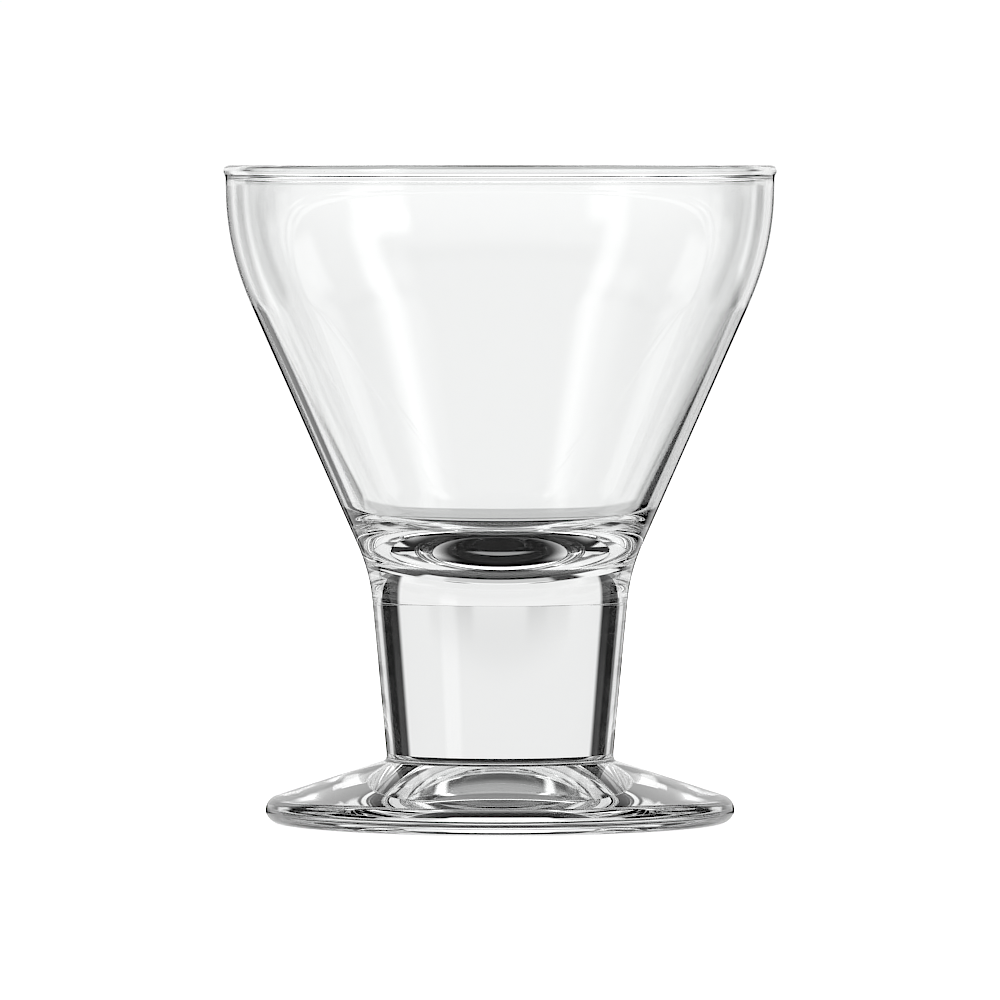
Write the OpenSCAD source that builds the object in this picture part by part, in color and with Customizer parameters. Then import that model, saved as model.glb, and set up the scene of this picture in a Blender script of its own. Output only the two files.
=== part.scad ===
// Short footed dessert glass in three fused pieces of clear glass.
// The bowl is blown: a thin wall with a beaded rim, a rounded shoulder, a conical side that
// thickens downwards and a heavy dished floor. The stem is a solid tapered gather and the foot is
// a pressed disc with a hollow underside.
// The glass stands upright, +Z up, with its origin at the centre of the ring that it rests on.
// Every profile runs anticlockwise round the glass as [radius, height] points, so the glass is
// always on the left of its heading. A heading of 0 points away from the axis and 90 points up.

/* [Overall] */
// Height from the table to the top of the rim
height = 103; // [94:0.5:120]
// Outside diameter of the wall just under the rim bead
rim_d = 86; // [80:0.5:96]
// Outside diameter of the foot
foot_d = 73.5; // [64:0.5:84]

/* [Rim] */
// Diameter of the fire polished bead round the lip
bead_d = 1.9; // [1.5:0.1:3]
// Radius of the hollow that runs the bead into the wall
bead_blend_r = 1.5; // [0.8:0.1:3]
// Wall thickness under the bead
rim_wall = 1.2; // [0.9:0.05:1.7]
// Height of the upright band from the rim down to the shoulder
rim_band = 3.3; // [2.8:0.1:8]

/* [Bowl] */
// Outside radius of the shoulder
shoulder_r = 45; // [30:1:50]
// Wall thickness where the conical side meets the rounded floor
base_wall = 2.5; // [1.8:0.1:3.6]
// Radius of the rounded corner between wall and floor, inside the bowl
floor_corner_r = 14; // [8:0.5:18]
// Thickness of solid glass at the axis, from the weld up to the lowest point of the floor
floor_glass = 4.4; // [3:0.1:10]
// How far that lowest point lies below the foot of the rounded corner
floor_dish = 3.6; // [1:0.1:6]
// Radius of the hollow flare between the conical side and the stem
flare_r = 28; // [15:1:36]

/* [Stem] */
// Diameter of the stem where it is fused to the bowl
stem_top_d = 40; // [37:0.1:46]
// Diameter of the stem where it is fused to the foot
stem_base_d = 35.6; // [30:0.1:39]
// Length of the stem between its two welds
stem_len = 23.8; // [16:0.2:32]

/* [Foot] */
// Height of the foot from the table to the weld with the stem
foot_h = 10.9; // [8:0.1:14]
// Height of the upright collar just under that weld
collar_h = 0.5; // [0.3:0.1:1.5]
// Radius of the hollow between the collar and the sloping top
collar_blend_r = 0.8; // [0.4:0.1:2]
// Radius of the rounded outer edge
edge_r = 2.1; // [1.4:0.1:2.6]
// Width of the flat ring that the glass rests on
ring_w = 2.6; // [1.5:0.1:5]
// Height of the hollow in the underside, at the axis
kick_h = 1.6; // [0.6:0.1:3]

/* [Hidden] */
// How far a drawn chord may fall inside its true arc
arc_error = 0.006;
clear_glass = [0.86, 0.90, 0.91, 0.45];
$fn = 180;

rim_r = rim_d / 2;
bead_r = bead_d / 2;
foot_r = foot_d / 2;
stem_top_r = stem_top_d / 2;
stem_base_r = stem_base_d / 2;
weld_z = foot_h + stem_len;
floor_z = weld_z + floor_glass;

// Unit vector along a heading, and the one to its left
function along(heading) = [cos(heading), sin(heading)];
function left_of(heading) = [-sin(heading), cos(heading)];

// Heading of the straight line that leaves a turn about the first centre and joins a turn about
// the second. A radius is positive for a left turn and negative for a right turn.
function tangent_heading(from, from_r, to, to_r) =
    let (reach = to - from, offset = to_r - from_r)
    atan2(reach.y, reach.x) - atan2(offset, sqrt(reach * reach - offset * offset));

// Points of a turn about a centre, from one heading to another
function turn(centre, r, from, to) =
    let (step = 2 * acos(1 - arc_error / abs(r)), n = ceil(abs(to - from) / step))
    [for (i = [0:n]) centre - r * left_of(from + (to - from) * i / n)];

// Outside of the bowl: flare, conical side and shoulder
stem_heading = atan2(stem_len, stem_top_r - stem_base_r);
weld_point = [stem_top_r, weld_z];
flare_centre = weld_point - flare_r * left_of(stem_heading);
shoulder_centre = [rim_r - shoulder_r, height - rim_band];
wall_heading = tangent_heading(flare_centre, -flare_r, shoulder_centre, shoulder_r);
flare_end = flare_centre + flare_r * left_of(wall_heading);

// Rim bead, with a hollow on each side where it runs into the wall
bead_centre = [rim_r - rim_wall / 2, height - bead_r];
blend_across = rim_wall / 2 + bead_blend_r;
blend_drop = sqrt(pow(bead_r + bead_blend_r, 2) - pow(blend_across, 2));
bead_heading = atan2(blend_across, blend_drop);
blend_offset = [blend_across, -blend_drop];

// Inside of the bowl: the corner keeps the base wall clear of the conical outside, and the dish
// runs on from the corner to the axis
inner_shoulder_r = shoulder_r - rim_wall;
corner_inset = (floor_corner_r + base_wall) * left_of(wall_heading);
corner_z = floor_z + floor_dish + floor_corner_r;
corner_run = (corner_z - corner_inset.y - flare_end.y) / along(wall_heading).y;
corner_centre = flare_end + corner_run * along(wall_heading) + corner_inset;
inner_heading = 360
    + tangent_heading(shoulder_centre, -inner_shoulder_r, corner_centre, -floor_corner_r);
dish_r = (pow(corner_centre.x, 2) / floor_dish + floor_dish) / 2 + floor_corner_r;
dish_centre = [0, floor_z + dish_r];
dish_reach = corner_centre - dish_centre;
dish_heading = 360 + atan2(-dish_reach.x, dish_reach.y);

// Foot: domed underside, rounded edge, sloping top and collar
ring_r = foot_r - edge_r - ring_w;
dome_r = (pow(ring_r, 2) + pow(kick_h, 2)) / (2 * kick_h);
edge_centre = [foot_r - edge_r, edge_r];
collar_centre = [stem_base_r + collar_blend_r, foot_h - collar_h];
slope_heading = tangent_heading(edge_centre, edge_r, collar_centre, -collar_blend_r);

module bowl() {
    color(clear_glass)
    rotate_extrude()
    polygon(concat(
        [[0, weld_z]],
        turn(flare_centre, -flare_r, stem_heading, wall_heading),
        turn(shoulder_centre, shoulder_r, wall_heading, 90),
        turn(bead_centre + blend_offset, -bead_blend_r, 90, bead_heading),
        turn(bead_centre, bead_r, bead_heading, 360 - bead_heading),
        turn(bead_centre + [-blend_offset.x, blend_offset.y], -bead_blend_r,
             360 - bead_heading, 270),
        turn(shoulder_centre, -inner_shoulder_r, 270, inner_heading),
        turn(corner_centre, -floor_corner_r, inner_heading, dish_heading),
        turn(dish_centre, -dish_r, dish_heading, 180)
    ));
}

module stem() {
    color(clear_glass)
    rotate_extrude()
    polygon([[0, foot_h], [stem_base_r, foot_h], weld_point, [0, weld_z]]);
}

module foot() {
    color(clear_glass)
    rotate_extrude()
    polygon(concat(
        turn([0, kick_h - dome_r], -dome_r, 0, -asin(ring_r / dome_r)),
        turn(edge_centre, edge_r, 0, slope_heading),
        turn(collar_centre, -collar_blend_r, slope_heading, 90),
        [[stem_base_r, foot_h], [0, foot_h]]
    ));
}

bowl();
stem();
foot();
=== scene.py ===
"""Studio model of a clear footed dessert glass.

The blown bowl, the solid stem and the pressed foot are turned from their half sections and stand
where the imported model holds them. They are dressed in clear glass and lit by soft panels.
"""

import logging
import math
from dataclasses import dataclass, field
from enum import Enum
from itertools import pairwise

import bpy
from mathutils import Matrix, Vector


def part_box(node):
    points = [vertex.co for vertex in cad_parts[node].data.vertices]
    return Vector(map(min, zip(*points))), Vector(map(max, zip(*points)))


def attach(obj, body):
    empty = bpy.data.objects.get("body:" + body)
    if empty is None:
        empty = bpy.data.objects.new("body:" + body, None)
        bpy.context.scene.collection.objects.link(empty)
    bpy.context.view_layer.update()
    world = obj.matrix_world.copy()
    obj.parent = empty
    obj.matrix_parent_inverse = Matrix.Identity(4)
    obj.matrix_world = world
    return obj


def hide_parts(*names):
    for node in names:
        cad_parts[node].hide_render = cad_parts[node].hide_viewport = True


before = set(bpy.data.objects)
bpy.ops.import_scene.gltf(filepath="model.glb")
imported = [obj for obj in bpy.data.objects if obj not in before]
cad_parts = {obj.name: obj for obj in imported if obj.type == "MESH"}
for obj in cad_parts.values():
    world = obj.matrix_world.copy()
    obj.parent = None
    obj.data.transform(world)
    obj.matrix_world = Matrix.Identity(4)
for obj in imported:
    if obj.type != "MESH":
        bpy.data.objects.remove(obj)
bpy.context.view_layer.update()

log = logging.getLogger("dessert_glass")

MM = 0.001
BODY = "root"

CHORD_ERROR = 0.0015 * MM
WIDEST_STEP = math.radians(6)
WELD_EASE_R = 0.05 * MM
WELD_LEVEL = 0.0001 * MM
WHITE = (1.0, 1.0, 1.0, 1.0)


class Slot(Enum):
    """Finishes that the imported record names."""

    BLOWN = "blown_glass"
    PRESSED = "pressed_glass"


class Bend(Enum):
    """Side to which a section bends as it is drawn, with the glass on its left."""

    LEFT = 1
    RIGHT = -1


def along(heading: float) -> Vector:
    """Unit vector in the section's plane along a heading, where 0 points away from the axis."""
    return Vector((math.cos(heading), math.sin(heading)))


def left_of(heading: float) -> Vector:
    """Unit vector in the section's plane to the left of a heading."""
    return Vector((-math.sin(heading), math.cos(heading)))


@dataclass(frozen=True)
class Round:
    """A circle that a section runs round.

    Args:
        centre: Its centre, as radius and height.
        radius: Its radius.
        bend: The side to which the section bends on it.
    """

    centre: Vector
    radius: float
    bend: Bend

    @property
    def reach(self) -> float:
        """Radius with the sign of the bend."""
        return self.radius * self.bend.value

    def at(self, heading: float) -> Vector:
        """Point where the section has this heading."""
        return self.centre - self.reach * left_of(heading)

    def heading_to(self, other: "Round") -> float:
        """Work out the heading of the straight line that leaves this round and joins another.

        Args:
            other: The round that the line joins.

        Returns:
            The heading in radians, between 0 and a full turn.
        """
        gap = other.centre - self.centre
        offset = other.reach - self.reach
        lean = math.atan2(offset, math.sqrt(gap.length_squared - offset * offset))
        return (math.atan2(gap.y, gap.x) - lean) % math.tau

    def points(self, start: float, end: float) -> list[Vector]:
        """List the points of the arc between two headings.

        Args:
            start: Heading where the arc starts.
            end: Heading where it ends.

        Returns:
            Points that follow the true arc within the chord error.
        """
        step = min(WIDEST_STEP, 2 * math.acos(1 - CHORD_ERROR / self.radius))
        count = math.ceil(abs(end - start) / step)
        return [self.at(start + (end - start) * i / count) for i in range(count + 1)]


def eased(corner: Vector, before: float, after: float) -> list[Vector]:
    """Ease the edge of a weld, where fire has rounded it.

    Args:
        corner: The sharp corner, where the section turns left.
        before: Heading of the section up to it.
        after: Heading of the section past it.

    Returns:
        Points of the rounded corner.
    """
    start = corner - WELD_EASE_R * math.tan((after - before) / 2) * along(before)
    centre = start + WELD_EASE_R * left_of(before)
    return Round(centre, WELD_EASE_R, Bend.LEFT).points(before, after)


@dataclass(frozen=True)
class Lathe:
    """Draws a half section and spins it round the glass's axis.

    Args:
        segments: Number of steps in a turn.
        sharp_angle: Angle past which an edge stays sharp.
        merge_distance: Distance within which points become one.
    """

    segments: int = 432
    sharp_angle: float = math.radians(35)
    merge_distance: float = 0.0002 * MM

    def turn(self, name: str, section: list[Vector]) -> bpy.types.Object:
        """Turn one piece.

        Args:
            name: Name of the piece.
            section: Its half section, as radius and height, from the axis and back to it.

        Returns:
            The closed, smooth shaded piece, at the origin.
        """
        route = [Vector((point.x, 0, point.y)) for point in section]
        bpy.ops.object.select_all(action="DESELECT")
        bpy.ops.mesh.primitive_plane_add(size=MM, location=route[0])
        piece = bpy.context.object
        piece.name = name
        piece.data.name = name
        bpy.ops.object.transform_apply(location=True, rotation=True, scale=True)
        bpy.ops.object.mode_set(mode="EDIT")
        bpy.ops.mesh.select_all(action="SELECT")
        bpy.ops.mesh.merge(type="CENTER")
        for start, end in pairwise(route):
            bpy.ops.mesh.extrude_vertices_move(TRANSFORM_OT_translate={"value": end - start})
        bpy.ops.mesh.select_all(action="SELECT")
        bpy.ops.mesh.spin(steps=self.segments, angle=math.tau, center=(0, 0, 0), axis=(0, 0, 1))
        bpy.ops.mesh.select_all(action="SELECT")
        bpy.ops.mesh.remove_doubles(threshold=self.merge_distance)
        bpy.ops.mesh.normals_make_consistent(inside=False)
        bpy.ops.object.mode_set(mode="OBJECT")
        bpy.ops.object.shade_smooth_by_angle(angle=self.sharp_angle)
        return piece


@dataclass(frozen=True)
class SurfaceGroup:
    """Node group for the marks that every piece of the glass carries.

    Args:
        name: Name of the group.
        ripple_detail: Detail of the ripples.
        film_scale: How many patches of film there are to a metre.
        film_detail: Detail of the film.
        film_start: Level of the noise where the film starts.
        film_full: Level of the noise where the film is full.
    """

    name: str = "glass_marks"
    ripple_detail: float = 2.0
    film_scale: float = 38.0
    film_detail: float = 6.0
    film_start: float = 0.52
    film_full: float = 0.78

    def build(self) -> bpy.types.NodeTree:
        """Build the group.

        Returns:
            A group that gives roughness, and the height of the ripples in the skin of the glass.
        """
        tree = bpy.data.node_groups.new(self.name, "ShaderNodeTree")
        sockets = tree.interface
        for label in ("Polish", "Smudge", "Ripple Size"):
            sockets.new_socket(label, in_out="INPUT", socket_type="NodeSocketFloat")
        for label in ("Roughness", "Height"):
            sockets.new_socket(label, in_out="OUTPUT", socket_type="NodeSocketFloat")
        add, wire = tree.nodes.new, tree.links.new
        given = add("NodeGroupInput")
        made = add("NodeGroupOutput")
        place = add("ShaderNodeTexCoord")
        ripple = add("ShaderNodeTexNoise")
        ripple.inputs["Detail"].default_value = self.ripple_detail
        wire(place.outputs["Object"], ripple.inputs["Vector"])
        wire(given.outputs["Ripple Size"], ripple.inputs["Scale"])
        wire(ripple.outputs["Fac"], made.inputs["Height"])
        touch = add("ShaderNodeTexNoise")
        touch.inputs["Scale"].default_value = self.film_scale
        touch.inputs["Detail"].default_value = self.film_detail
        wire(place.outputs["Object"], touch.inputs["Vector"])
        film = add("ShaderNodeMapRange")
        film.inputs["From Min"].default_value = self.film_start
        film.inputs["From Max"].default_value = self.film_full
        wire(touch.outputs["Fac"], film.inputs["Value"])
        wire(given.outputs["Polish"], film.inputs["To Min"])
        wire(given.outputs["Smudge"], film.inputs["To Max"])
        wire(film.outputs["Result"], made.inputs["Roughness"])
        return tree


@dataclass(frozen=True)
class GlassFinish:
    """Clear soda-lime glass with its skin marks.

    Args:
        name: Name of the material.
        tint: Colour that one pass through the skin leaves.
        polish: Roughness where the glass is clean.
        smudge: Roughness where a faint film lies on it.
        ripple: Depth of the ripples in its skin.
        ripple_scale: How many ripples there are to a metre.
        ior: How strongly the glass bends light.
    """

    name: str
    tint: tuple[float, float, float]
    polish: float = 0.0
    smudge: float = 0.012
    ripple: float = 0.004 * MM
    ripple_scale: float = 60.0
    ior: float = 1.52

    def build(self, marks: bpy.types.NodeTree) -> bpy.types.Material:
        """Build the material.

        Args:
            marks: The node group of skin marks.

        Returns:
            The finished material.
        """
        material = bpy.data.materials.new(self.name)
        material.use_nodes = True
        nodes, wire = material.node_tree.nodes, material.node_tree.links.new
        shader = nodes["Principled BSDF"]
        shader.inputs["Base Color"].default_value = (*self.tint, 1)
        shader.inputs["Transmission Weight"].default_value = 1
        shader.inputs["IOR"].default_value = self.ior
        skin = nodes.new("ShaderNodeGroup")
        skin.node_tree = marks
        skin.inputs["Polish"].default_value = self.polish
        skin.inputs["Smudge"].default_value = self.smudge
        skin.inputs["Ripple Size"].default_value = self.ripple_scale
        bump = nodes.new("ShaderNodeBump")
        bump.inputs["Distance"].default_value = self.ripple
        bump.inputs["Strength"].default_value = 1
        wire(skin.outputs["Roughness"], shader.inputs["Roughness"])
        wire(skin.outputs["Height"], bump.inputs["Height"])
        wire(bump.outputs["Normal"], shader.inputs["Normal"])
        return material


@dataclass(frozen=True)
class FusedFace:
    """Face inside a fused joint, where the glass runs on and nothing is seen.

    Args:
        name: Name of the material.
    """

    name: str = "fused_face"

    def build(self) -> bpy.types.Material:
        """Build the material.

        Returns:
            The see-through material.
        """
        material = bpy.data.materials.new(self.name)
        material.use_nodes = True
        material.node_tree.nodes["Principled BSDF"].inputs["Alpha"].default_value = 0
        return material


@dataclass
class GlassPiece:
    """One fused piece of the glass.

    Args:
        node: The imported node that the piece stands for.
        slot: The record's finish that it takes.
    """

    node: str
    slot: Slot

    def section(self) -> list[Vector]:
        """Half section of the piece, as radius and height."""
        raise NotImplementedError

    def welds(self) -> list[float]:
        """Heights of its fused faces."""
        raise NotImplementedError

    def build(self, lathe: Lathe) -> bpy.types.Object:
        """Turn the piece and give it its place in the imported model.

        Args:
            lathe: The lathe that turns it.

        Returns:
            The finished mesh object.
        """
        piece = lathe.turn(f"{self.node}_glass", self.section())
        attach(piece, BODY)
        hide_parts(self.node)
        return piece

    def dress(
        self, piece: bpy.types.Object, glass: bpy.types.Material, fused: bpy.types.Material
    ) -> None:
        """Give the skin its glass, and each fused face nothing to be seen.

        Args:
            piece: The piece to dress.
            glass: The material of its skin.
            fused: The material of its fused faces.
        """
        piece.data.materials.append(glass)
        piece.data.materials.append(fused)
        welds = self.welds()
        heights = [vertex.co.z for vertex in piece.data.vertices]
        for face in piece.data.polygons:
            face.material_index = any(
                all(abs(heights[v] - weld) < WELD_LEVEL for v in face.vertices) for weld in welds
            )


@dataclass
class Stem(GlassPiece):
    """Thick solid stem that tapers a little towards the foot."""

    node: str = "stem"
    slot: Slot = Slot.PRESSED
    top_d: float = 40 * MM
    base_d: float = 35.6 * MM
    low: float = field(default_factory=lambda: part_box("stem")[0].z)
    high: float = field(default_factory=lambda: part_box("stem")[1].z)

    @property
    def heading(self) -> float:
        """Heading of its side, from the foot up."""
        return math.atan2(self.high - self.low, (self.top_d - self.base_d) / 2)

    def section(self) -> list[Vector]:
        """Half section of the stem, as radius and height."""
        return [
            Vector((0, self.low)),
            *eased(Vector((self.base_d / 2, self.low)), 0, self.heading),
            *eased(Vector((self.top_d / 2, self.high)), self.heading, math.pi),
            Vector((0, self.high)),
        ]

    def welds(self) -> list[float]:
        """Heights of its fused faces."""
        return [self.low, self.high]


@dataclass
class Bowl(GlassPiece):
    """Blown bowl with a beaded rim, a rounded shoulder and a heavy dished floor."""

    node: str = "bowl"
    slot: Slot = Slot.BLOWN
    stem: Stem = field(default_factory=Stem)
    rim_d: float = 86 * MM
    bead_d: float = 1.9 * MM
    bead_blend_r: float = 1.5 * MM
    rim_wall: float = 1.2 * MM
    rim_band: float = 3.3 * MM
    shoulder_r: float = 45 * MM
    base_wall: float = 2.5 * MM
    floor_corner_r: float = 14 * MM
    floor_glass: float = 4.4 * MM
    floor_dish: float = 3.6 * MM
    flare_r: float = 28 * MM
    height: float = 103 * MM

    def outside(self) -> tuple[Round, Round]:
        """Rounds of the outside.

        Returns:
            The hollow flare above the stem and the shoulder under the rim.
        """
        weld_point = Vector((self.stem.top_d / 2, self.stem.high))
        flare_centre = weld_point - self.flare_r * left_of(self.stem.heading)
        flare = Round(flare_centre, self.flare_r, Bend.RIGHT)
        shoulder_centre = Vector((self.rim_d / 2 - self.shoulder_r, self.height - self.rim_band))
        return flare, Round(shoulder_centre, self.shoulder_r, Bend.LEFT)

    def lip(self) -> tuple[Round, Round, Round]:
        """Rounds of the lip.

        Returns:
            The hollow outside the bead, the bead and the hollow inside it.
        """
        bead_r = self.bead_d / 2
        centre = Vector((self.rim_d / 2 - self.rim_wall / 2, self.height - bead_r))
        across = self.rim_wall / 2 + self.bead_blend_r
        drop = math.sqrt((bead_r + self.bead_blend_r) ** 2 - across**2)
        outer = Round(centre + Vector((across, -drop)), self.bead_blend_r, Bend.RIGHT)
        inner = Round(centre + Vector((-across, -drop)), self.bead_blend_r, Bend.RIGHT)
        return outer, Round(centre, bead_r, Bend.LEFT), inner

    def inside(self) -> tuple[Round, Round, Round]:
        """Rounds of the inside.

        Returns:
            The shoulder, the corner above the floor and the dish of the floor.
        """
        flare, shoulder = self.outside()
        wall = flare.heading_to(shoulder)
        floor_z = self.stem.high + self.floor_glass
        line = flare.at(wall) + (self.floor_corner_r + self.base_wall) * left_of(wall)
        rise = floor_z + self.floor_dish + self.floor_corner_r - line.y
        corner = Round(line + rise / along(wall).y * along(wall), self.floor_corner_r, Bend.RIGHT)
        dish_r = (corner.centre.x**2 / self.floor_dish + self.floor_dish) / 2 + self.floor_corner_r
        dish = Round(Vector((0, floor_z + dish_r)), dish_r, Bend.RIGHT)
        return Round(shoulder.centre, self.shoulder_r - self.rim_wall, Bend.RIGHT), corner, dish

    def section(self) -> list[Vector]:
        """Half section of the bowl, as radius and height."""
        up, inward, down = math.pi / 2, math.pi, 1.5 * math.pi
        flare, shoulder = self.outside()
        outer_blend, bead, inner_blend = self.lip()
        inner_shoulder, corner, dish = self.inside()
        wall = flare.heading_to(shoulder)
        aside = outer_blend.centre - bead.centre
        lip = math.atan2(aside.x, -aside.y)
        inner_wall = inner_shoulder.heading_to(corner)
        reach = corner.centre - dish.centre
        floor_heading = math.atan2(-reach.x, reach.y) % math.tau
        return [
            Vector((0, self.stem.high)),
            *eased(flare.at(self.stem.heading), 0, self.stem.heading),
            *flare.points(self.stem.heading, wall)[1:],
            *shoulder.points(wall, up),
            *outer_blend.points(up, lip),
            *bead.points(lip, math.tau - lip),
            *inner_blend.points(math.tau - lip, down),
            *inner_shoulder.points(down, inner_wall),
            *corner.points(inner_wall, floor_heading),
            *dish.points(floor_heading, inward),
        ]

    def welds(self) -> list[float]:
        """Heights of its fused faces."""
        return [self.stem.high]


@dataclass
class Foot(GlassPiece):
    """Pressed round foot with a sloping top, a rounded edge and a hollow underside."""

    node: str = "foot"
    slot: Slot = Slot.PRESSED
    stem: Stem = field(default_factory=Stem)
    foot_d: float = 73.5 * MM
    collar_h: float = 0.5 * MM
    collar_blend_r: float = 0.8 * MM
    edge_r: float = 2.1 * MM
    ring_w: float = 2.6 * MM
    kick_h: float = 1.6 * MM

    def section(self) -> list[Vector]:
        """Half section of the foot, as radius and height."""
        seat_r, seat_z = self.stem.base_d / 2, self.stem.low
        edge = Round(Vector((self.foot_d / 2 - self.edge_r, self.edge_r)), self.edge_r, Bend.LEFT)
        collar_centre = Vector((seat_r + self.collar_blend_r, seat_z - self.collar_h))
        collar = Round(collar_centre, self.collar_blend_r, Bend.RIGHT)
        slope = edge.heading_to(collar)
        ring_r = self.foot_d / 2 - self.edge_r - self.ring_w
        dome_r = (ring_r**2 + self.kick_h**2) / (2 * self.kick_h)
        dome = Round(Vector((0, self.kick_h - dome_r)), dome_r, Bend.RIGHT)
        return [
            *dome.points(0, -math.asin(ring_r / dome_r)),
            *edge.points(0, slope),
            *collar.points(slope, math.pi / 2),
            *eased(Vector((seat_r, seat_z)), math.pi / 2, math.pi),
            Vector((0, seat_z)),
        ]

    def welds(self) -> list[float]:
        """Heights of its fused faces."""
        return [self.stem.low]


@dataclass(frozen=True)
class Panel:
    """Soft panel of light, far from the glass.

    Args:
        name: What the panel is.
        azimuth: Middle of the panel, in degrees to the right of straight behind the glass.
        width: Its width in degrees.
        low: Height of its lower edge in degrees.
        high: Height of its upper edge in degrees.
        light: Its brightness, where 1 is the backdrop.
        edge: How far its edges fade, in degrees.
    """

    name: str
    azimuth: float
    width: float
    low: float
    high: float
    light: float
    edge: float = 2.0


@dataclass(frozen=True)
class Spot:
    """Soft oval of painted light and shade on the floor under the glass.

    Args:
        back: How far behind the glass's axis its middle lies.
        half_width: Half of its width across the view.
        half_depth: Half of its depth along the view.
        soft: Share of its size over which its edge fades.
        inner: Light inside it.
        outer: Light outside it.
    """

    back: float
    half_width: float
    half_depth: float
    soft: float
    inner: float
    outer: float

    def node(self, nodes: bpy.types.Nodes, ovals: bpy.types.NodeTree) -> bpy.types.Node:
        """Add the oval to a floor's material.

        Args:
            nodes: The material's nodes.
            ovals: The node group of soft ovals.

        Returns:
            The node that gives its light.
        """
        node = nodes.new("ShaderNodeGroup")
        node.node_tree = ovals
        node.inputs["Middle"].default_value = (0, self.back, 0)
        node.inputs["Half Size"].default_value = (self.half_width, self.half_depth, 1)
        node.inputs["Edge Start"].default_value = 1 - self.soft
        node.inputs["Edge End"].default_value = 1 + self.soft
        node.inputs["Inner"].default_value = self.inner
        node.inputs["Outer"].default_value = self.outer
        return node


@dataclass(frozen=True)
class SpotGroup:
    """Node group for a soft oval of painted light and shade on the floor.

    Args:
        name: Name of the group.
    """

    name: str = "painted_shading_oval"

    def build(self) -> bpy.types.NodeTree:
        """Build the group.

        Returns:
            A group that gives the inner light, turning to the outer light at the oval's edge.
        """
        tree = bpy.data.node_groups.new(self.name, "ShaderNodeTree")
        for label in ("Middle", "Half Size"):
            tree.interface.new_socket(label, in_out="INPUT", socket_type="NodeSocketVector")
        for label in ("Edge Start", "Edge End", "Inner", "Outer"):
            tree.interface.new_socket(label, in_out="INPUT", socket_type="NodeSocketFloat")
        tree.interface.new_socket("Light", in_out="OUTPUT", socket_type="NodeSocketFloat")
        add, wire = tree.nodes.new, tree.links.new
        given = add("NodeGroupInput")
        made = add("NodeGroupOutput")
        place = add("ShaderNodeTexCoord")
        shift = add("ShaderNodeVectorMath")
        shift.operation = "SUBTRACT"
        wire(place.outputs["Object"], shift.inputs[0])
        wire(given.outputs["Middle"], shift.inputs[1])
        shrink = add("ShaderNodeVectorMath")
        shrink.operation = "DIVIDE"
        wire(shift.outputs["Vector"], shrink.inputs[0])
        wire(given.outputs["Half Size"], shrink.inputs[1])
        reach = add("ShaderNodeVectorMath")
        reach.operation = "LENGTH"
        wire(shrink.outputs["Vector"], reach.inputs[0])
        ramp = add("ShaderNodeMapRange")
        ramp.interpolation_type = "SMOOTHSTEP"
        wire(reach.outputs["Value"], ramp.inputs["Value"])
        wire(given.outputs["Edge Start"], ramp.inputs["From Min"])
        wire(given.outputs["Edge End"], ramp.inputs["From Max"])
        wire(given.outputs["Inner"], ramp.inputs["To Min"])
        wire(given.outputs["Outer"], ramp.inputs["To Max"])
        wire(ramp.outputs["Result"], made.inputs["Light"])
        return tree


@dataclass(frozen=True)
class PanelGroup:
    """Node group that masks one panel of the studio.

    Args:
        name: Name of the group.
    """

    name: str = "panel_mask"

    def build(self) -> bpy.types.NodeTree:
        """Build the group.

        Returns:
            A group that gives 1 inside a panel and 0 outside it.
        """
        tree = bpy.data.node_groups.new(self.name, "ShaderNodeTree")
        labels = ("Across", "Up", "Middle", "Half Width", "Low", "High", "Edge")
        for label in labels:
            tree.interface.new_socket(label, in_out="INPUT", socket_type="NodeSocketFloat")
        tree.interface.new_socket("Mask", in_out="OUTPUT", socket_type="NodeSocketFloat")
        given = tree.nodes.new("NodeGroupInput")
        made = tree.nodes.new("NodeGroupOutput")

        def math_node(
            operation: str, *values: bpy.types.NodeSocket | float
        ) -> bpy.types.NodeSocket:
            """Add a math node.

            Args:
                operation: What it does.
                *values: Sockets to wire in, or numbers to set.

            Returns:
                The node's result.
            """
            node = tree.nodes.new("ShaderNodeMath")
            node.operation = operation
            for socket, value in zip(node.inputs, values):
                if isinstance(value, bpy.types.NodeSocket):
                    tree.links.new(value, socket)
                else:
                    socket.default_value = value
            return node.outputs["Value"]

        def inside(distance: bpy.types.NodeSocket) -> bpy.types.NodeSocket:
            """Fade from 0 outside an edge to 1 inside it.

            Args:
                distance: Distance inside the edge.

            Returns:
                The mask of that edge.
            """
            fade = tree.nodes.new("ShaderNodeMapRange")
            fade.interpolation_type = "SMOOTHSTEP"
            tree.links.new(distance, fade.inputs["Value"])
            outer_edge = math_node("MULTIPLY", given.outputs["Edge"], -1.0)
            tree.links.new(outer_edge, fade.inputs["From Min"])
            tree.links.new(given.outputs["Edge"], fade.inputs["From Max"])
            return fade.outputs["Result"]

        turn = math_node("SUBTRACT", given.outputs["Across"], given.outputs["Middle"])
        away = math_node("ABSOLUTE", math_node("WRAP", turn, 180.0, -180.0))
        sides = inside(math_node("SUBTRACT", given.outputs["Half Width"], away))
        below = inside(math_node("SUBTRACT", given.outputs["Up"], given.outputs["Low"]))
        above = inside(math_node("SUBTRACT", given.outputs["High"], given.outputs["Up"]))
        mask = math_node("MULTIPLY", sides, math_node("MULTIPLY", below, above))
        tree.links.new(mask, made.inputs["Mask"])
        return tree


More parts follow.
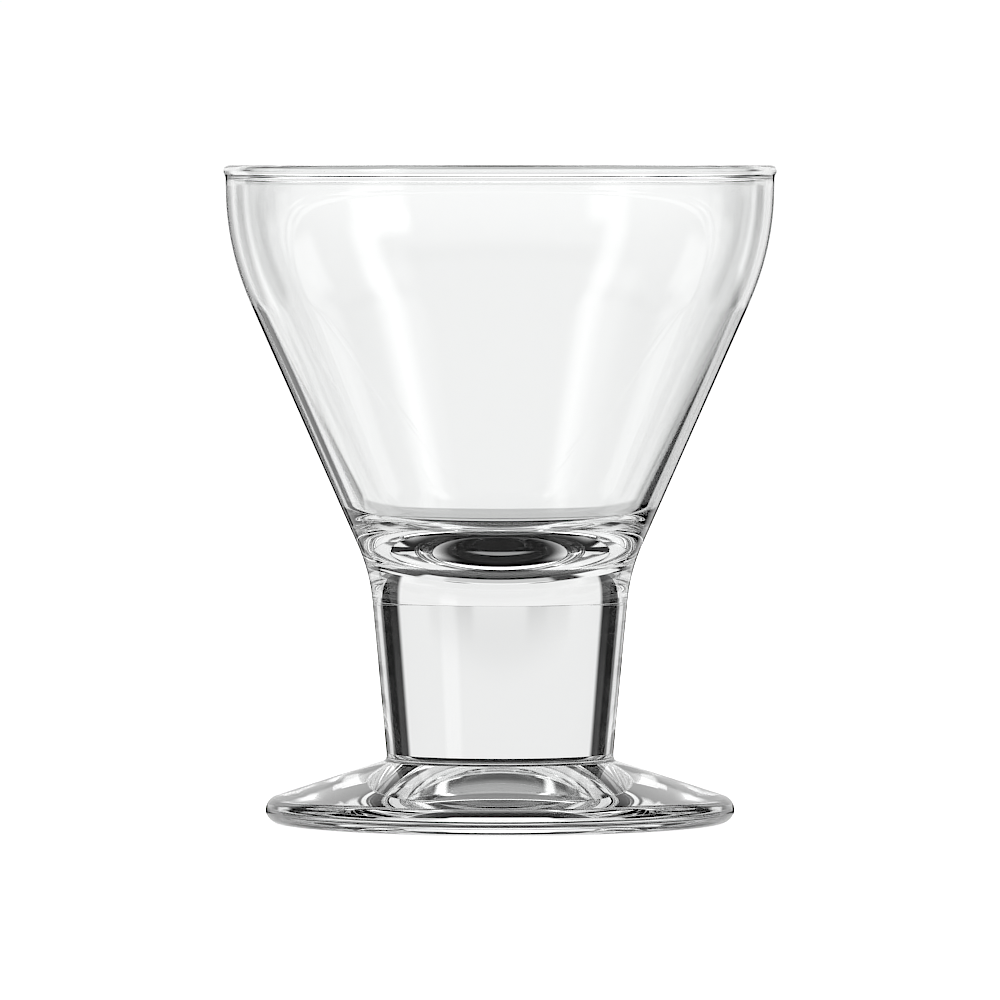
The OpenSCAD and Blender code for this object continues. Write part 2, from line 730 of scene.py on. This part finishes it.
@dataclass
class Studio:
    """Pale floor with a painted shadow, a glowing patch of painted light and shade, soft panels
    all round and the camera.

    Args:
        panels: Panels of light, which add up.
        room: Brightness of the room between the panels.
        backdrop_seen: Brightness of the plain room behind, where the camera sees it.
        floor_r: Radius of the floor.
        floor_drop: How far the floor lies under the foot.
        floor_tone: Colour of the floor.
        floor_roughness: Roughness of the floor.
        floor_gloss: Specular level of the floor.
        disc_sides: Number of sides of the floor and its patch.
        shadow: Painted soft shadow in the floor's glow behind the glass, not cast by the panels.
        patch_r: Radius of the glowing patch of floor, with painted light and shade, that shows
            through the glass.
        shade: Painted shade, a dark oval of the patch under the stem.
        far_shade: Painted shade, a dark oval of the patch behind the foot.
        side_shade: Lit oval of the patch, past which its far sides have painted shade.
        glint: Painted glint, a small spot of light in the middle of the patch.
        eye: Where the camera stands.
        aim: Where it looks.
        lens: Its focal length in millimetres.
        sensor: Width of its sensor in millimetres.
        sight: How far it sees.
        passes: How often light may pass through glass, or bounce in all.
        mirrors: How often it may be mirrored.
        scatters: How often it may be scattered.
        sharpness: How far the picture is sharpened.
    """

    panels: list[Panel]
    room: float = 0.005
    backdrop_seen: float = 1.05
    floor_r: float = 1.6
    floor_drop: float = 0.06 * MM
    floor_tone: tuple[float, float, float, float] = (0.9, 0.9, 0.9, 1.0)
    floor_roughness: float = 0.9
    floor_gloss: float = 0.1
    disc_sides: int = 128
    # Painted shadow in the floor's glow, behind the glass.
    shadow: Spot = Spot(18 * MM, 24 * MM, 44 * MM, 0.5, 0.2, 0.95)
    patch_r: float = 52 * MM
    # Painted shade and a painted glint in the glow of the patch.
    shade: Spot = Spot(0.0, 20 * MM, 20 * MM, 0.2, 0.0, 1.0)
    far_shade: Spot = Spot(38 * MM, 21 * MM, 32 * MM, 0.2, 0.0, 0.9)
    side_shade: Spot = Spot(-45 * MM, 56 * MM, 82 * MM, 0.06, 1.0, 0.05)
    glint: Spot = Spot(0.0, 9 * MM, 2.2 * MM, 0.35, 0.3, 0.0)
    eye: tuple[float, float, float] = (0.0, -1750 * MM, 105 * MM)
    aim: tuple[float, float, float] = (0.0, 0.0, 50.55 * MM)
    lens: float = 402.2
    sensor: float = 36.0
    sight: float = 100.0
    passes: int = 32
    mirrors: int = 12
    scatters: int = 3
    sharpness: float = 0.07

    def build_sky(self) -> None:
        """Light the room with the panels, and show a plain white room behind the glass."""
        world = bpy.data.worlds.new("studio")
        bpy.context.scene.world = world
        world.use_nodes = True
        tree = world.node_tree
        tree.nodes.clear()
        wire = tree.links.new
        mask = PanelGroup().build()
        place = tree.nodes.new("ShaderNodeTexCoord")
        split = tree.nodes.new("ShaderNodeSeparateXYZ")
        wire(place.outputs["Generated"], split.inputs["Vector"])
        turn = tree.nodes.new("ShaderNodeMath")
        turn.operation = "ARCTAN2"
        wire(split.outputs["X"], turn.inputs[0])
        wire(split.outputs["Y"], turn.inputs[1])
        rise = tree.nodes.new("ShaderNodeMath")
        rise.operation = "ARCSINE"
        wire(split.outputs["Z"], rise.inputs[0])
        angles = []
        for source in (turn, rise):
            degrees = tree.nodes.new("ShaderNodeMath")
            degrees.operation = "DEGREES"
            wire(source.outputs["Value"], degrees.inputs[0])
            angles.append(degrees.outputs["Value"])
        total = None
        for panel in self.panels:
            box = tree.nodes.new("ShaderNodeGroup")
            box.node_tree = mask
            box.label = panel.name
            wire(angles[0], box.inputs["Across"])
            wire(angles[1], box.inputs["Up"])
            box.inputs["Middle"].default_value = panel.azimuth
            box.inputs["Half Width"].default_value = panel.width / 2
            box.inputs["Low"].default_value = panel.low
            box.inputs["High"].default_value = panel.high
            box.inputs["Edge"].default_value = panel.edge
            add = tree.nodes.new("ShaderNodeMath")
            add.operation = "MULTIPLY_ADD"
            wire(box.outputs["Mask"], add.inputs[0])
            add.inputs[1].default_value = panel.light
            add.inputs[2].default_value = self.room
            if total is not None:
                wire(total, add.inputs[2])
            total = add.outputs["Value"]
        light = tree.nodes.new("ShaderNodeBackground")
        wire(total, light.inputs["Strength"])
        seen = tree.nodes.new("ShaderNodeBackground")
        seen.inputs["Strength"].default_value = self.backdrop_seen
        seen.inputs["Color"].default_value = WHITE
        light.inputs["Color"].default_value = WHITE
        ray = tree.nodes.new("ShaderNodeLightPath")
        pick = tree.nodes.new("ShaderNodeMixShader")
        wire(ray.outputs["Is Camera Ray"], pick.inputs["Fac"])
        wire(light.outputs["Background"], pick.inputs[1])
        wire(seen.outputs["Background"], pick.inputs[2])
        output = tree.nodes.new("ShaderNodeOutputWorld")
        wire(pick.outputs["Shader"], output.inputs["Surface"])

    def build_floor(self, ovals: bpy.types.NodeTree) -> bpy.types.Object:
        """Lay the pale floor that the camera sees, with a painted soft shadow in its glow behind
        the glass.

        Args:
            ovals: The node group of soft ovals.

        Returns:
            The floor.
        """
        bpy.ops.object.select_all(action="DESELECT")
        bpy.ops.mesh.primitive_circle_add(
            vertices=self.disc_sides,
            radius=self.floor_r,
            fill_type="NGON",
            location=(0, 0, -self.floor_drop),
        )
        floor = bpy.context.object
        floor.name = "floor"
        for kind in ("glossy", "transmission", "diffuse", "shadow"):
            setattr(floor, f"visible_{kind}", False)
        material = bpy.data.materials.new("pale_floor")
        material.use_nodes = True
        nodes, wire = material.node_tree.nodes, material.node_tree.links.new
        shader = nodes["Principled BSDF"]
        shader.inputs["Base Color"].default_value = self.floor_tone
        shader.inputs["Roughness"].default_value = self.floor_roughness
        shader.inputs["Specular IOR Level"].default_value = self.floor_gloss
        shader.inputs["Emission Color"].default_value = WHITE
        # Painted shadow: the floor's glow dims inside a soft oval behind the glass.
        shadow = self.shadow.node(nodes, ovals)
        wire(shadow.outputs["Light"], shader.inputs["Emission Strength"])
        floor.data.materials.append(material)
        return floor

    def build_patch(self, ovals: bpy.types.NodeTree) -> bpy.types.Object:
        """Lay the patch of floor that shows only through the glass, glowing with painted light,
        painted shade and a painted glint.

        Args:
            ovals: The node group of soft ovals.

        Returns:
            The patch.
        """
        bpy.ops.object.select_all(action="DESELECT")
        bpy.ops.mesh.primitive_circle_add(
            vertices=self.disc_sides,
            radius=self.patch_r,
            fill_type="NGON",
            location=(0, 0, -self.floor_drop / 2),
        )
        patch = bpy.context.object
        patch.name = "floor_patch"
        for kind in ("camera", "diffuse", "shadow"):
            setattr(patch, f"visible_{kind}", False)
        material = bpy.data.materials.new("painted_light_floor")
        material.use_nodes = True
        nodes, wire = material.node_tree.nodes, material.node_tree.links.new
        nodes.remove(nodes["Principled BSDF"])
        # Painted light and shade: the patch glows with the product of the dark ovals, times the
        # lit oval, plus the painted glint.
        shades = nodes.new("ShaderNodeMath")
        shades.operation = "MULTIPLY"
        for spot, socket in zip((self.shade, self.far_shade), shades.inputs):
            wire(spot.node(nodes, ovals).outputs["Light"], socket)
        total = nodes.new("ShaderNodeMath")
        total.operation = "MULTIPLY_ADD"
        wire(shades.outputs["Value"], total.inputs[0])
        for spot, socket in zip((self.side_shade, self.glint), total.inputs[1:]):
            wire(spot.node(nodes, ovals).outputs["Light"], socket)
        glow = nodes.new("ShaderNodeEmission")
        wire(total.outputs["Value"], glow.inputs["Strength"])
        wire(glow.outputs["Emission"], nodes["Material Output"].inputs["Surface"])
        patch.data.materials.append(material)
        return patch

    def build_camera(self) -> None:
        """Set the camera at the photograph's angle, on a long lens just above the rim."""
        lens = bpy.data.cameras.new("studio_camera")
        lens.lens = self.lens
        lens.sensor_width = self.sensor
        lens.clip_end = self.sight
        camera = bpy.data.objects.new("studio_camera", lens)
        camera.location = self.eye
        view = Vector(self.aim) - Vector(self.eye)
        camera.rotation_euler = view.to_track_quat("-Z", "Y").to_euler()
        bpy.context.scene.collection.objects.link(camera)
        bpy.context.scene.camera = camera

    def set_light_paths(self) -> None:
        """Let light pass through every wall of the glass, and keep the picture's tones plain."""
        scene = bpy.context.scene
        scene.view_settings.view_transform = "Standard"
        scene.cycles.max_bounces = self.passes
        scene.cycles.transmission_bounces = self.passes
        scene.cycles.transparent_max_bounces = self.passes
        scene.cycles.glossy_bounces = self.mirrors
        scene.cycles.diffuse_bounces = self.scatters
        scene.cycles.caustics_refractive = False
        scene.cycles.caustics_reflective = False
        scene.cycles.use_denoising = True

    def sharpen(self) -> None:
        """Sharpen the picture a little, as the photograph was."""
        scene = bpy.context.scene
        scene.use_nodes = True
        nodes, wire = scene.node_tree.nodes, scene.node_tree.links.new
        nodes.clear()
        picture = nodes.new("CompositorNodeRLayers")
        crisp = nodes.new("CompositorNodeFilter")
        crisp.filter_type = "SHARPEN"
        crisp.inputs["Fac"].default_value = self.sharpness
        output = nodes.new("CompositorNodeComposite")
        wire(picture.outputs["Image"], crisp.inputs["Image"])
        wire(crisp.outputs["Image"], output.inputs["Image"])


PANELS = [
    Panel("backdrop", 0, 84, 1, 30, 0.88),
    Panel("backdrop top", 0, 34, 17, 34, 0.7),
    Panel("table behind", 0, 17, -8, 1, 0.98, 1.5),
    Panel("table nearer", 0, 29, -16, -8, 0.98, 1.5),
    Panel("table close behind", 0, 29, -38, -16, 0.6, 1.5),
    Panel("left table", -19.5, 9, -10, 1, 0.55, 1.5),
    Panel("left table side", -35, 22, -36, 1, 0.95),
    Panel("right table", 19.5, 9.5, -36, 1, 0.85, 1.5),
    Panel("right table side", 35.5, 22, -14, 1, 0.85),
    Panel("left table beside", -70, 18, -23, -7, 0.65, 3),
    Panel("right table beside", 70, 18, -23, -7, 0.65, 3),
    Panel("left table far", -66, 36, -40, -23, 0.65, 3),
    Panel("right table far", 66, 36, -40, -23, 0.65, 3),
    Panel("table close all round", 0, 270, -95, -40, 0.7, 4),
    Panel("table beside and in front", 180, 204, -24, 0, 0.8, 5),
    Panel("left table low", -110, 52, -38, -24, 0.7, 5),
    Panel("right table low", 110, 52, -38, -24, 0.7, 5),
    Panel("table close in front", 180, 90, -95, -26, 0.25, 5),
    Panel("room in front", 180, 204, 0, 28, 0.12, 8),
    Panel("high in front", 180, 150, 28, 56, 0.5, 5),
    Panel("ceiling", 0, 400, 56, 95, 0.25, 6),
    Panel("left strip", -131, 18, 1, 13, 1.2, 4),
    Panel("left strip top", -126, 10, 13, 55, 1.3, 4),
    Panel("left strip on the table", -132, 17, -17, -9, 1.5, 3),
    Panel("right strip", 124, 26, 1, 13, 1.4, 4),
    Panel("right strip top", 115.5, 13, 13, 55, 1.5, 4),
    Panel("left thin strip", -62, 1.6, 12, 34, 0.8, 1),
    Panel("right thin strip", 62, 1.6, 12, 34, 0.8, 1),
    Panel("left side light", -67.5, 9, 1, 13, 0.8),
    Panel("right side light", 67.5, 9, 1, 13, 0.8),
    Panel("left high light", -52, 13, 34, 55, 0.9, 3),
    Panel("right high light", 52, 13, 34, 55, 0.9, 3),
    Panel("left bounce", -74, 23, 13, 30, 0.85, 3),
    Panel("right bounce", 74, 23, 13, 30, 0.85, 3),
]


def main() -> None:
    """Build the glass and its studio."""
    logging.basicConfig(level=logging.INFO, format="%(name)s: %(message)s")
    lathe = Lathe()
    marks = SurfaceGroup().build()
    fused = FusedFace().build()
    blown = GlassFinish("blown_glass", tint=(0.99, 0.995, 0.993)).build(marks)
    pressed = GlassFinish("pressed_glass", tint=(0.985, 0.992, 0.99)).build(marks)
    glasses = {Slot.BLOWN: blown, Slot.PRESSED: pressed}
    stem = Stem()
    for part in (Bowl(stem=stem), stem, Foot(stem=stem)):
        piece = part.build(lathe)
        part.dress(piece, glasses[part.slot], fused)
        log.info("%s stands for %s with %d faces", piece.name, part.node, len(piece.data.polygons))
    studio = Studio(PANELS)
    studio.build_sky()
    ovals = SpotGroup().build()
    floor = studio.build_floor(ovals)
    patch = studio.build_patch(ovals)
    studio.build_camera()
    studio.set_light_paths()
    studio.sharpen()
    log.info("%s, %s and %d panels set", floor.name, patch.name, len(PANELS))


if __name__ == "__main__":
    main()
